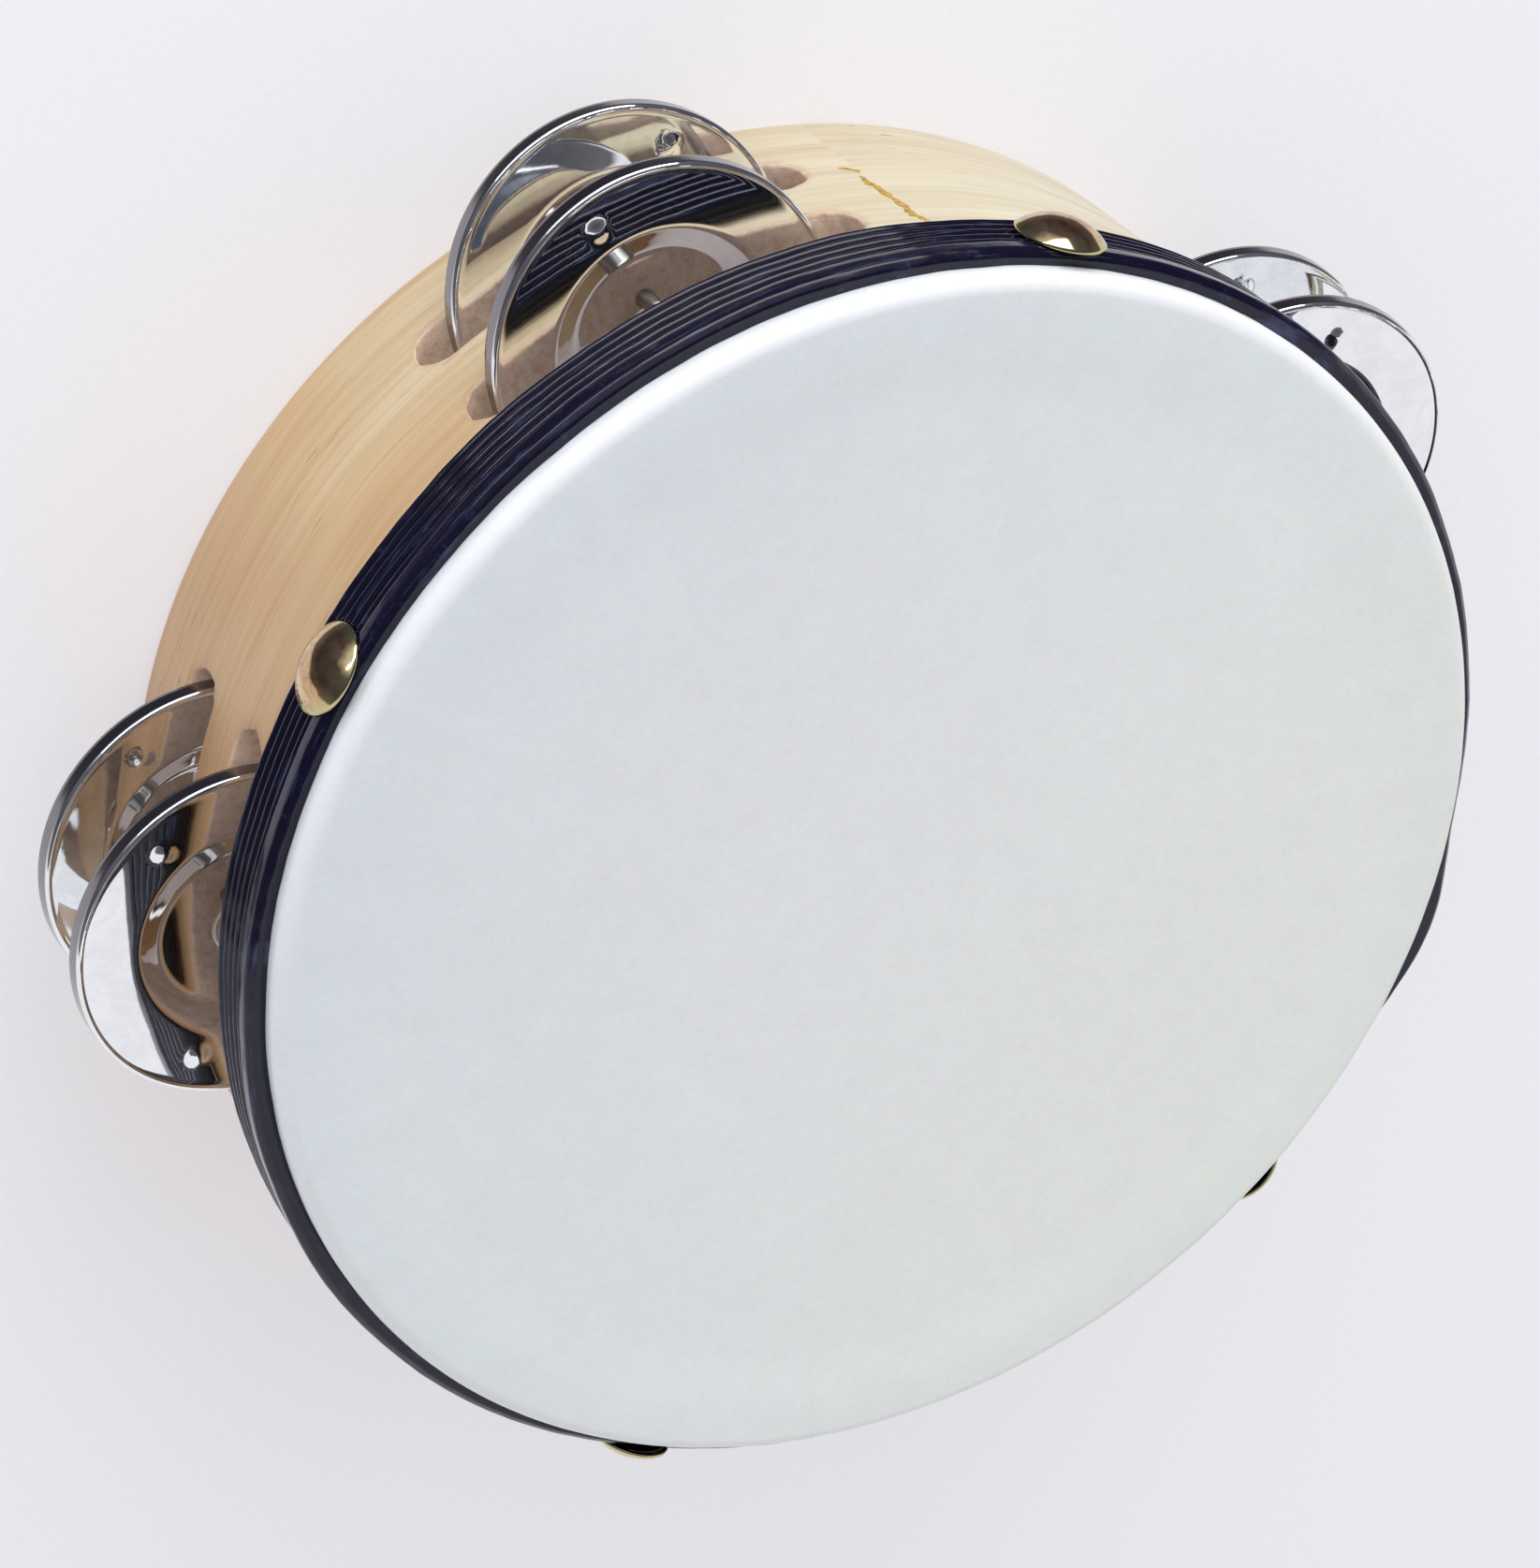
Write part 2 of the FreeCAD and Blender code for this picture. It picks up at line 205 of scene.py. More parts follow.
def srgb(r, g, b):
    """A colour given as 0-255 screen values, as the linear colour Blender wants."""
    def linear(c):
        c /= 255
        return c / 12.92 if c <= 0.04045 else ((c + 0.055) / 1.055) ** 2.4

    return (linear(r), linear(g), linear(b), 1.0)


class Nodes:
    """Short ways to add shader nodes to one material."""

    def __init__(self, name):
        self.material = bpy.data.materials.new(name)
        self.material.use_nodes = True
        self.tree = self.material.node_tree
        self.shader = self.tree.nodes["Principled BSDF"]

    def add(self, kind, **values):
        node = self.tree.nodes.new(kind)
        for key, value in values.items():
            setattr(node, key, value)
        return node

    def link(self, source, target):
        self.tree.links.new(source, target)

    def feed(self, socket, value):
        """Link or set a socket, whichever the value calls for."""
        if isinstance(value, bpy.types.NodeSocket):
            self.link(value, socket)
        else:
            socket.default_value = value

    def math(self, operation, a, b=0.0):
        node = self.add("ShaderNodeMath", operation=operation)
        self.feed(node.inputs[0], a)
        self.feed(node.inputs[1], b)
        return node.outputs[0]

    def times(self, a, b):
        return self.math("MULTIPLY", a, b)

    def plus(self, a, b):
        return self.math("ADD", a, b)

    def reach(self, x, y):
        """How far (x, y) is from the axis."""
        return self.math("SQRT", self.plus(self.times(x, x), self.times(y, y)))

    def along(self, x, y):
        """How far round the hoop (x, y) is, in metres."""
        return self.times(self.math("ARCTAN2", y, x), HOOP_RADIUS * MM)

    def place(self):
        """The point being shaded, in the row's frame, in metres."""
        return self.add("ShaderNodeTexCoord").outputs["Object"]

    def split(self, vector):
        node = self.add("ShaderNodeSeparateXYZ")
        self.feed(node.inputs[0], vector)
        return node.outputs

    def join(self, x, y, z):
        node = self.add("ShaderNodeCombineXYZ")
        for socket, value in zip(node.inputs, (x, y, z)):
            self.feed(socket, value)
        return node.outputs[0]

    def turn(self, vector, degrees):
        node = self.add("ShaderNodeVectorRotate", rotation_type="Z_AXIS")
        self.feed(node.inputs["Vector"], vector)
        node.inputs["Angle"].default_value = math.radians(degrees)
        return node.outputs[0]

    def noise(self, vector, scale, detail=3.0, rough=0.5, distort=0.0):
        node = self.add("ShaderNodeTexNoise")
        self.feed(node.inputs["Vector"], vector)
        node.inputs["Scale"].default_value = scale
        node.inputs["Detail"].default_value = detail
        node.inputs["Roughness"].default_value = rough
        node.inputs["Distortion"].default_value = distort
        return node.outputs["Fac"]

    def ramp(self, value, *stops):
        """A colour ramp: each stop is (position, colour or grey)."""
        node = self.add("ShaderNodeValToRGB")
        self.feed(node.inputs[0], value)
        elements = node.color_ramp.elements
        while len(elements) < len(stops):
            elements.new(0.5)
        for element, (position, colour) in zip(elements, stops):
            element.position = position
            element.color = colour if isinstance(colour, tuple) else (colour, colour, colour, 1.0)
        return node.outputs["Color"]

    def mix(self, factor, a, b, blend="MIX"):
        node = self.add("ShaderNodeMix", data_type="RGBA", blend_type=blend)
        self.feed(node.inputs["Factor"], factor)
        self.feed(node.inputs[6], a)
        self.feed(node.inputs[7], b)
        return node.outputs[2]

    def bump(self, height, distance, strength):
        node = self.add("ShaderNodeBump")
        self.feed(node.inputs["Height"], height)
        node.inputs["Distance"].default_value = distance
        node.inputs["Strength"].default_value = strength
        return node.outputs[0]

    def attribute(self, name, output="Fac"):
        return self.add("ShaderNodeAttribute", attribute_name=name).outputs[output]

    def set(self, **sockets):
        """Feed the shader's inputs, named with _ for a space, and hand over the finished material."""
        for name, value in sockets.items():
            self.feed(self.shader.inputs[name.replace("_", " ")], value)
        return self.material


# --- wooden hoop -------------------------------------------------------------------------------

SLOT_HALF = (SLOT_LENGTH - SLOT_WIDTH) / 2
SLOT_EASE = 0.45
# How ragged a slot's outline is along its sides, how much more at its torn ends, and the most
# that it may stray inward.
SLOT_RAGGED = 0.08
SLOT_TORN = 0.3
SLOT_BENT_IN = 0.15
INNER_RIM_ROUND = 0.5
INNER_SHOULDER_ROUND = 0.4
PIN_RADIUS = 1.1
# The pin hole from the rim inward: how wide against the pin, and at what level.
PIN_HOLE = ((1.06, 0.0), (1.01, 0.1), (1.0, 0.4), (1.0, PIN_END + 0.1))
SEAM_ANGLE = math.radians(120.4)
COLUMNS = 48
GRID = 1.6


def sector(station):
    """A station's share of the hoop: angles from its middle to halfway to each neighbour."""
    here = STATION_TURNS[station]
    before = min((here - other) % TAU for other in STATION_TURNS if other != here)
    after = min((other - here) % TAU for other in STATION_TURNS if other != here)
    return [-before / 2 + (before + after) / 2 * k / COLUMNS for k in range(COLUMNS + 1)]


def slot_gap(y, z):
    """How far a point of a station's (y, z) plane lies outside the nearer slot."""
    return min(math.hypot(max(abs(y) - SLOT_HALF, 0.0), z - level) for level in SLOT_LEVELS) - SLOT_WIDTH / 2


def slot_loop(station, level, grow, depth):
    """A slot's outline in the (y, z) plane: fairly clean along its sides and torn at its ends."""
    straight, bend = 40, 16
    spine = [(-SLOT_HALF + 2 * SLOT_HALF * k / straight, 90.0) for k in range(straight)]
    spine += [(SLOT_HALF, 90.0 - 180.0 * k / bend) for k in range(bend)]
    spine += [(SLOT_HALF - 2 * SLOT_HALF * k / straight, -90.0) for k in range(straight)]
    spine += [(-SLOT_HALF, -90.0 - 180.0 * k / bend) for k in range(bend)]
    loop = []
    for y, way in spine:
        c, s = math.cos(math.radians(way)), math.sin(math.radians(way))
        torn = SLOT_RAGGED + SLOT_TORN * smooth((abs(y + SLOT_WIDTH / 2 * c) - SLOT_HALF + 1) / 3)
        rough = wander(y * 0.9 + c * 4, level + s * 3, depth * 0.35, station + 1)
        reach = SLOT_WIDTH / 2 + grow + torn * max(rough, -SLOT_BENT_IN)
        loop.append((y + reach * c, level + reach * s))
    return loop


def inside(point, loop):
    """Whether a flat point lies within a loop."""
    y, z = point
    hit = False
    for (y0, z0), (y1, z1) in zip(loop, loop[1:] + loop[:1]):
        if (z0 > z) != (z1 > z) and y < y0 + (z - z0) * (y1 - y0) / (z1 - z0):
            hit = not hit
    return hit


def panel(outline, holes, spacing):
    """Triangles that fill a flat outline around its holes, as (points, faces)."""
    flat, edges = [], []
    for loop in [outline] + holes:
        start = len(flat)
        flat += loop
        edges += [(start + k, start + (k + 1) % len(loop)) for k in range(len(loop))]
    lows = [min(p[i] for p in outline) for i in (0, 1)]
    highs = [max(p[i] for p in outline) for i in (0, 1)]
    counts = [max(2, round((high - low) / spacing)) for low, high in zip(lows, highs)]
    border = np.array(flat)
    for i in range(1, counts[0]):
        for j in range(1, counts[1]):
            shift = 0.25 if j % 2 else -0.25
            y = lows[0] + (highs[0] - lows[0]) * (i + shift) / counts[0]
            z = lows[1] + (highs[1] - lows[1]) * j / counts[1]
            if np.min(np.hypot(border[:, 0] - y, border[:, 1] - z)) < 0.5 * spacing:
                continue
            if not any(inside((y, z), hole) for hole in holes):
                flat.append((y, z))
    points, _, faces, *_ = geometry.delaunay_2d_cdt([Vector(p) for p in flat], edges, [], 1, 1e-5)
    kept = []
    for face in faces:
        middle = sum((points[v] for v in face), Vector((0, 0))) / len(face)
        if not any(inside(middle, hole) for hole in holes):
            kept.append(list(face))
    return [tuple(p) for p in points], kept


def sheet_outline(across, low, high):
    """A rectangle's outline whose long sides have a point on each column of the hoop."""
    rise = [low + (high - low) * k / 28 for k in range(28)]
    outline = [(y, low) for y in across[:-1]]
    outline += [(across[-1], z) for z in rise]
    outline += [(y, high) for y in across[:0:-1]]
    outline += [(across[0], low + high - z) for z in rise]
    return outline


def wood_drift(theta, z):
    """How far the bent strip strays from a true circle."""
    return 0.10 * around(theta, 2.0, 3, z * 0.02) + 0.025 * around(theta, 9.0, 4, z * 0.12)


class Shell:
    """Points and faces gathered from many patches."""

    def __init__(self):
        self.points, self.faces = [], []

    def add(self, points, faces):
        start = len(self.points)
        self.points += points
        self.faces += [[start + v for v in face] for face in faces]

    def strip(self, loops):
        """Closed loops of equal length, joined one to the next."""
        count = len(loops[0])
        faces = []
        for i in range(len(loops) - 1):
            for k in range(count):
                n = (k + 1) % count
                a, b = i * count, (i + 1) * count
                faces.append([a + k, a + n, b + n, b + k])
        self.add([p for loop in loops for p in loop], faces)


def make_hoop(material):
    """The bent strip with its slots, eased edges and pin holes, one station's share at a time."""
    shell = Shell()
    top = HOOP_HEIGHT - SHOULDER_ROUND
    inner_top = HOOP_HEIGHT - INNER_SHOULDER_ROUND
    walls = ((HOOP_RADIUS, RIM_ROUND, top), (HOOP_INNER, INNER_RIM_ROUND, inner_top))
    rim_low, rim_high = HOOP_INNER + INNER_RIM_ROUND, HOOP_RADIUS - RIM_ROUND
    columns = []
    for station, centre in enumerate(STATION_TURNS):
        spin = Matrix.Rotation(centre, 3, "Z")
        turns = sector(station)
        columns += [centre + turn for turn in turns[:-1]]

        def onto(radius, y, z):
            """A slot-plane point on the cylinder of that radius."""
            return tuple(spin @ Vector((math.sqrt(radius * radius - y * y), y, z)))

        for side, (radius, low, high) in enumerate(walls):
            outline = sheet_outline([radius * math.sin(turn) for turn in turns], low, high)
            depth = side * HOOP_WALL
            holes = [slot_loop(station, level, SLOT_EASE, depth) for level in SLOT_LEVELS]
            flat, faces = panel(outline, holes, GRID)
            shell.add([onto(radius, y, z) for y, z in flat], faces)

        for level in SLOT_LEVELS:
            # How deep each loop lies in the wall, and how much wider than the slot it is.
            eases = ((0, SLOT_EASE), (0.13, 0.13), (SLOT_EASE, 0), (HOOP_WALL / 3, 0), (HOOP_WALL / 2, 0))
            depths = list(eases) + [(HOOP_WALL - d, g) for d, g in reversed(eases[:-1])]
            shell.strip([
                [onto(HOOP_RADIUS - d, y, z) for y, z in slot_loop(station, level, g, d)]
                for d, g in depths
            ])

        def onto_rim(u, radius, z):
            """A point of the flat open rim, u round from the station's middle."""
            turn = centre + u / PIN_CIRCLE
            return (radius * math.cos(turn), radius * math.sin(turn), z)

        def hole_loop(scale):
            """The pin hole's outline, scale times as wide as the pin."""
            reach = scale * PIN_RADIUS
            return [(reach * math.cos(a), PIN_CIRCLE + reach * math.sin(a)) for a in ring(24)]

        rim = [(PIN_CIRCLE * turn, rim_low) for turn in turns]
        rim += [(PIN_CIRCLE * turn, rim_high) for turn in reversed(turns)]
        flat, faces = panel(rim, [hole_loop(PIN_HOLE[0][0])], GRID)
        shell.add([onto_rim(u, r, 0.0) for u, r in flat], faces)
        shell.strip([
            [onto_rim(u, r, z) for u, r in hole_loop(scale)]
            for scale, z in PIN_HOLE
        ])

    bottom = [
        rounded([(HOOP_RADIUS, RIM_ROUND), (HOOP_RADIUS, 0), (rim_high, 0)], [0, RIM_ROUND, 0]),
        rounded([(rim_low, 0), (HOOP_INNER, 0), (HOOP_INNER, INNER_RIM_ROUND)], [0, INNER_RIM_ROUND, 0]),
    ]
    outer_edge = [(HOOP_RADIUS, top), (HOOP_RADIUS, HOOP_HEIGHT)]
    inner_edge = [(HOOP_INNER, HOOP_HEIGHT), (HOOP_INNER, inner_top)]
    over = rounded(outer_edge + inner_edge, [0, SHOULDER_ROUND, INNER_SHOULDER_ROUND, 0])
    columns.sort()
    for path in bottom + [over]:
        shell.add(*lathe(path, columns, closed=False))

    points = []
    for x, y, z in shell.points:
        theta, radius = math.atan2(y, x), math.hypot(x, y)
        radius += wood_drift(theta, z)
        points.append((radius * math.cos(theta), radius * math.sin(theta), z))
    hoop = add_piece("hoop_body", points, shell.faces, material, "frame", "wood", "wood_hoop")

    work = bmesh.new()
    work.from_mesh(hoop.data)
    bmesh.ops.remove_doubles(work, verts=work.verts, dist=0.01 * MM)
    bmesh.ops.recalc_face_normals(work, faces=work.faces)
    work.to_mesh(hoop.data)
    work.free()
    gap = hoop.data.attributes.new("slot_gap", "FLOAT", "POINT")
    for vertex, value in zip(hoop.data.vertices, gap.data):
        x, y, z = vertex.co / MM
        turn = min((wrapped(math.atan2(y, x) - station) for station in STATION_TURNS), key=abs)
        value.value = slot_gap(math.hypot(x, y) * math.sin(turn), z)


def make_seam(material):
    """Glue squeezed out of the strip's lap joint: a thin ragged bead from the rear slot to the band."""
    shell = Shell()
    rear = SLOT_LEVELS[0]
    # Each run's start and end (turn from the seam, level), its half width and its number of steps.
    runs = (
        ((0.0105, rear + 2.6), (-0.0125, BAND_BOTTOM + 0.6), 0.62, 90),
        ((0.0280, rear + 0.4), (0.0000, rear + 1.9), 0.36, 30),
    )
    for number, (start, end, width, steps) in enumerate(runs):
        across, rise = HOOP_RADIUS * (end[0] - start[0]), end[1] - start[1]
        length = math.hypot(across, rise)
        aside = (-rise / length, across / length)
        loops = []
        for k in range(steps + 1):
            t = k / steps
            turn = SEAM_ANGLE + start[0] + (end[0] - start[0]) * t
            level = start[1] + rise * t
            run = t * length
            stray = 0.55 * wander(run * 0.30, number, 0, 30) + 0.30 * wander(run * 1.3, number, 0, 31)
            swell = 0.55 + 0.9 * abs(wander(run * 0.8, number, 0, 32))
            broad = width * swell * smooth((0.5 - abs(t - 0.5)) * 12)
            loop = []
            for a in ring(10):
                off = stray + broad * math.cos(a)
                here = turn + off * aside[0] / HOOP_RADIUS
                z = level + off * aside[1]
                out = HOOP_RADIUS + wood_drift(here, z) + 0.10 * broad / width * math.sin(a)
                loop.append((out * math.cos(here), out * math.sin(here), z))
            loops.append(loop)
        shell.strip(loops)
    add_piece("glue_seam", shell.points, shell.faces, material, "frame", "wood")


# --- skin, band, tacks and pins ----------------------------------------------------------------

SKIN_DISH = 0.32
BAND_VALLEY = 76.5
RIBS = 5
RIB_PITCH = 1.42
RIBS_BOTTOM = BAND_BOTTOM + 0.2
BEAD_BOTTOM = RIBS_BOTTOM + RIBS * RIB_PITCH
# Where the strap stands away from the hoop, over what half span and by how much.
LOOSE_TURN = math.radians(17.5)
LOOSE_SPAN = math.radians(12.5)
LOOSE_LIFT = 1.9
TACK_RADIUS = 5.2
TACK_DOME = 2.5
TACK_EDGE = 0.35
TACK_SHANK = 0.75
TACK_NODES = sorted(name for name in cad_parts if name.startswith("tack_"))


def node_points(node):
    """A CAD node's points, in mm."""
    return np.array([v.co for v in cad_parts[node].data.vertices]) / MM


TACK_TURNS = [turn_of(node_points(node).mean(axis=0)) for node in TACK_NODES]


def tack_pull(theta):
    """1 beside a tack, 0 halfway between two."""
    nearest = min(abs(wrapped(theta - turn)) for turn in TACK_TURNS)
    return 1 - smooth(nearest / 0.45)


def make_skin(material):
    """The sheet: taut over the mouth, lying on the wood's end, then folded down outside it."""
    outer = [(0, SKIN_TOP - SKIN_DISH)]
    outer += [(r, SKIN_TOP - SKIN_DISH * (1 - smooth((r - 61.0) / 9.5))) for r in range(30, 71, 2)]
    bend = [(70, SKIN_TOP), (SKIN_RADIUS - 0.9, SKIN_TOP), (SKIN_RADIUS, SKIN_TOP - 1.6)]
    shoulder = rounded(bend + [(SKIN_RADIUS, SKIRT_BOTTOM)], [0, 1.9, 1.5, 0], steps=9)
    outer += shoulder[1:]
    under = [
        (r if r < HOOP_INNER else r - SKIN_THICK * smooth((r - HOOP_INNER) / 6), z - SKIN_THICK * 0.8)
        for r, z in outer
        if z > SKIRT_BOTTOM + 1
    ]
    under.append((SKIN_RADIUS - 0.8 * SKIN_THICK, SKIRT_BOTTOM))
    path = divided(outer, 1.8) + divided(under[::-1], 1.8)

    def shape(theta, r, z):
        """The sheet with a slow sag, puckers near its edge and folds down its side."""
        edge = smooth((r - 40) / 30)
        lift = 0.05 * wander(r * math.cos(theta) * 0.04, r * math.sin(theta) * 0.04, 0, 5)
        pucker = 0.07 * edge * around(theta, 14, 6) + 0.05 * edge * around(theta, 34, 7)
        fold = smooth((SKIN_TOP - 1.0 - z) / 3)
        r += 0.10 * around(theta, 20, 8, z * 0.1) * fold
        return (r * math.cos(theta), r * math.sin(theta), z + lift * (1 - fold) + pucker * (1 - fold))

    points, faces = lathe(path, ring(288), False, shape)
    add_piece("drumhead_sheet", points, faces, material, "frame", "skin", "head_skin")


def make_band(material):
    """The ribbed strap that holds the skin: narrow ribs behind, one broad bead in front."""
    crest = BAND_CREST
    path = [(SKIN_RADIUS + 0.05, BAND_BOTTOM), (BAND_VALLEY - 0.1, BAND_BOTTOM)]
    for rib in range(RIBS):
        for k in range(9):
            t = k / 9
            swell = math.sin(math.pi * t) ** 0.75
            level = RIBS_BOTTOM + (rib + t) * RIB_PITCH
            path.append((BAND_VALLEY + (crest - 0.05 - BAND_VALLEY) * swell, level))
    bead = rounded(
        [
            (BAND_VALLEY, BEAD_BOTTOM),
            (crest + 0.1, BEAD_BOTTOM),
            (crest + 0.1, BAND_TOP - 0.7),
            (crest - 0.75, BAND_TOP + 0.02),
            (SKIN_RADIUS - 0.1, BAND_TOP - 0.1),
            (SKIN_RADIUS - 0.1, BAND_TOP - 1.2),
        ],
        [0, 0.5, 0.75, 0.6, 0.25, 0], steps=7)
    path += divided(bead, 0.5) + [(SKIN_RADIUS + 0.05, BAND_TOP - 1.6)]

    def shape(theta, r, z):
        """A strap pulled tight: it swells between the tacks and its ribs aren't quite even."""
        outside = smooth((r - SKIN_RADIUS) / 1.0)
        pull = tack_pull(theta)
        swell = 0.30 * (1 - pull) + 0.16 * around(theta, 5, 9, z * 0.08) - 0.12 * pull
        swell += LOOSE_LIFT * smooth(1 - abs(wrapped(theta - LOOSE_TURN)) / LOOSE_SPAN)
        ripple = 0.03 * around(theta, 40, 10, z * 0.8) + 0.012 * around(theta, 95, 11, z * 1.6)
        r += outside * (swell + ripple)
        z += 0.22 * around(theta, 6, 12) + 0.10 * around(theta, 26, 13, z * 0.15)
        return (r * math.cos(theta), r * math.sin(theta), z)

    turns = ring(900)
    points, faces = lathe(path, turns, True, shape)
    strap = add_piece("band_strap", points, faces, material, "frame", "band", "ribbed_band")
    groove = strap.data.attributes.new("groove", "FLOAT", "POINT")
    ribbed = [z < BEAD_BOTTOM + 0.4 and r > SKIN_RADIUS + 0.3 for r, z in path]
    depth = [(crest - r) / (crest - BAND_VALLEY) if on else 0.0 for on, (r, z) in zip(ribbed, path)]
    groove.data.foreach_set("value", np.repeat(depth, len(turns)))


def keep_local(piece, points):
    """Store each point's place in its own piece's axes, in mm, for the material."""
    local = piece.data.attributes.new("local", "FLOAT_VECTOR", "POINT")
    local.data.foreach_set("vector", np.array(points, dtype=float).ravel())


def make_tack(number, material):
    """A domed brass nail whose head sits on the ribs."""
    node = TACK_NODES[number - 1]
    low, high = box_mm(node)
    turn = TACK_TURNS[number - 1]
    level = (low.z + high.z) / 2
    radius = (high.z - low.z) / 2
    reach = np.hypot(*node_points(node)[:, :2].T)
    seat = reach.max() - TACK_DOME
    rise = TACK_DOME - TACK_EDGE
    ball = (radius**2 + rise**2) / (2 * rise)
    tilt = math.asin(radius / ball)
    tilts = [tilt * k / 26 for k in range(26)]
    path = [(ball * math.sin(a), TACK_DOME - ball * (1 - math.cos(a))) for a in tilts]
    brim = [(radius, TACK_EDGE), (radius, 0), (radius - 0.6, 0.05), (radius - 1.2, 0.6)]
    path += rounded(brim, [0, 0.14, 0.2, 0], steps=4)
    point = reach.min() - seat
    path += [(TACK_SHANK, 1.0), (TACK_SHANK, point + 1.5), (0, point)]

    def shape(theta, r, z):
        """The head with a few shallow dents."""
        dent = 0.05 * wander(r * math.cos(theta) * 0.35, r * math.sin(theta) * 0.35, number * 3.1, 14)
        return (r * math.cos(theta), r * math.sin(theta), z + dent * smooth(z))

    points, faces = lathe(path, ring(72), False, shape)
    lean = Matrix.Rotation(math.radians(1.5 * wander(number * 1.7, 0.3, 0, 15)), 3, "X")
    outward = Matrix.Rotation(turn, 3, "Z") @ Matrix.Rotation(math.pi / 2, 3, "Y") @ lean
    base = Vector((seat * math.cos(turn), seat * math.sin(turn), level))
    placed = [tuple(outward @ Vector(p) + base) for p in points]
    piece = add_piece(f"tack_head_{number}", placed, faces, material, "frame", "tack", node)
    keep_local(piece, points)


def make_pin(number, material):
    """The straight wire that a station's two jingles hang on."""
    node = f"jingle_pin_{number}"
    low, high = box_mm(node)
    x, y = (low.x + high.x) / 2, (low.y + high.y) / 2
    path = rounded(
        [(0, low.z), (PIN_RADIUS, low.z), (PIN_RADIUS, high.z - 0.5), (0.55, high.z), (0, high.z)],
        [0, 0.25, 0.1, 0.1, 0], 3)
    path = divided(path, 2.0)
    points, faces = lathe(path, ring(28), False)
    placed = [(x + px, y + py, pz) for px, py, pz in points]
    add_piece(f"pin_wire_{number}", placed, faces, material, "frame", "pin", node)


# --- jingles -----------------------------------------------------------------------------------

SHEET = 0.45
FLANGE_DEPTH = 2.2
FOLD = 0.45
CUP_FLOOR = 9.6
CUP_LIP = 12.7
CUP_DEPTH = 1.7
HOLE = 3.0
PIP_CIRCLE = 15.6
PIP_RADIUS = 1.5
PIP_HEIGHT = 0.45
DISH_SLOPE = 0.022
LIP_WIDTH = 0.34
LIP_RISE = 0.17


def jingle_place(node):
    """Where a jingle hangs, read from its CAD node: (rotation, origin, radius, spin)."""
    cloud = node_points(node)
    middle = cloud.mean(axis=0)
    far = np.linalg.norm(cloud - middle, axis=1)
    rim = cloud[far > 0.99 * far.max()]
    normal = np.linalg.svd(rim - rim.mean(axis=0))[2][2]
    normal *= 1 if normal[2] > 0 else -1
    side = np.cross((0, 0, 1), middle)
    side -= (side @ normal) * normal
    side /= np.linalg.norm(side)
    ahead = np.cross(side, normal)
    # The circle that fits the rim best: its points aren't spread evenly, so their mean isn't its centre.
    flat = np.column_stack(((rim - middle) @ ahead, (rim - middle) @ side))
    terms = np.column_stack((2 * flat, np.ones(len(flat))))
    ahead_by, side_by, rest = np.linalg.lstsq(terms, (flat**2).sum(axis=1), rcond=None)[0]
    radius = math.sqrt(rest + ahead_by**2 + side_by**2)
    middle = middle + ahead_by * ahead + side_by * side
    heights = (cloud - middle) @ normal
    origin = middle + normal * heights.min()
    bumps = cloud[heights - heights.min() > FLANGE_DEPTH + 0.1] - origin
    phase = np.exp(3j * np.arctan2(bumps @ side, bumps @ ahead)).sum()
    rotation = Matrix((ahead, side, normal)).transposed()
    return rotation, Vector(origin), radius, np.angle(phase) / 3


def make_jingle(row, number, material):
    """A pressed disc: flat ring, three pips, a cup with the pin's hole, and a flange behind."""
    node = f"{row}_jingle_{number}"
    rotation, origin, radius, spin = jingle_place(node)
    face = FLANGE_DEPTH
    brink = radius - FOLD
    front = rounded(
        [(HOLE, face - CUP_DEPTH), (CUP_FLOOR, face - CUP_DEPTH), (CUP_LIP, face), (brink - LIP_WIDTH, face)],
        [0, 2.4, 2.0, 0], steps=9)
    front += [(brink - LIP_WIDTH * (1 - k / 6), face) for k in range(1, 6)]
    front += rounded([(brink, face), (radius, face), (radius, 0)], [0, FOLD, 0], steps=9)
    back = rounded(
        [
            (radius - SHEET, 0),
            (radius - SHEET, face - SHEET),
            (CUP_LIP - 0.25, face - SHEET),
            (CUP_FLOOR - 0.25, face - CUP_DEPTH - SHEET),
            (HOLE, face - CUP_DEPTH - SHEET),
        ],
        [0, 0.15, 1.2, 1.2, 0], steps=5)
    path = divided(front, 0.55) + divided(back, 1.2)
    seed = number + (0.5 if row == "rear" else 0.0)
    turns = [spin + k * TAU / 3 for k in range(3)]
    pips = [(PIP_CIRCLE * math.cos(a), PIP_CIRCLE * math.sin(a)) for a in turns]

    def shape(theta, r, z):
        """The lathed point with the disc's slow warp, fine ripple, pips, slope and raised lip."""
        x, y = r * math.cos(theta), r * math.sin(theta)
        upper = smooth(z / FLANGE_DEPTH)
        lift = 0.10 * wander(x * 0.055, y * 0.055, seed, 20) + 0.028 * wander(x * 0.20, y * 0.20, seed, 21)
        lift *= 0.35 + 0.65 * upper
        lift += 0.002 * wander(x * 0.7, y * 0.7, seed, 22)
        nearest = min(math.hypot(x - px, y - py) for px, py in pips)
        lift += PIP_HEIGHT * smooth((PIP_RADIUS - nearest) / PIP_RADIUS) ** 0.8
        lift += DISH_SLOPE * (max(0.0, r - CUP_LIP) - (radius - CUP_LIP)) * upper
        lift -= LIP_RISE * smooth((brink - r) / LIP_WIDTH)
        stretch = 1 + 0.0012 * around(theta, 1.5, 23 + seed)
        return (x * stretch, y * stretch, z + lift)

    points, faces = lathe(path, ring(224), True, shape)
    placed = [tuple(rotation @ Vector(p) + origin) for p in points]
    piece = add_piece(f"disc_{row}_{number}", placed, faces, material, f"{row}_disc_{number}", "jingle", node)
    keep_local(piece, points)


